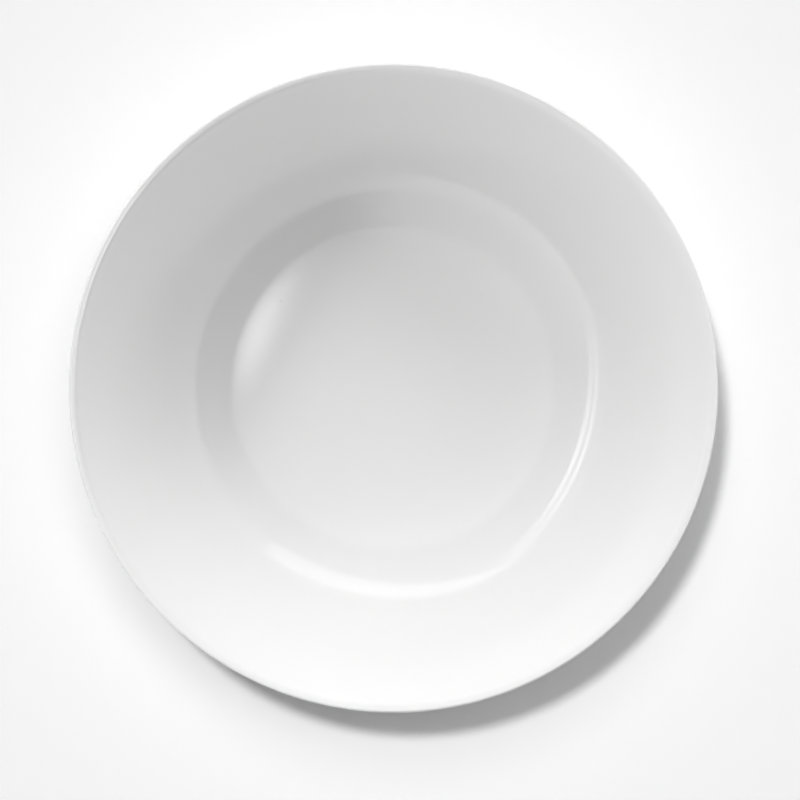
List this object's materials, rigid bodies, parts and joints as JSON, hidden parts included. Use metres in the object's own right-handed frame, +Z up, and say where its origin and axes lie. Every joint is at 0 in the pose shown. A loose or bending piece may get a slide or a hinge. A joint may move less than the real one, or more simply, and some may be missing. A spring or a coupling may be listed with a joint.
{
  "type": "salad bowl",
  "caption": "Round white porcelain salad bowl with a ball-shaped bottom, straight flared wall, rounded lip and bare turned foot ring, glazed inside, outside and in the foot's recess.",
  "frame": {"origin": "on the table, at the centre of the foot ring's bearing face", "axes": "+Z up along the bowl's axis; X and Y are any two directions square to it, because the bowl is round"},
  "size_m": [0.28, 0.28, 0.087],
  "materials": {
    "bare_porcelain": "matte, fired and unglazed, wiped foot",
    "white_glaze": "glossy clear glaze over white porcelain"
  },
  "bodies": {
    "root": {"porcelain_body": "bare_porcelain", "inside_glaze": "white_glaze", "outside_glaze": "white_glaze", "recess_glaze": "white_glaze"}
  },
  "joints": []
}
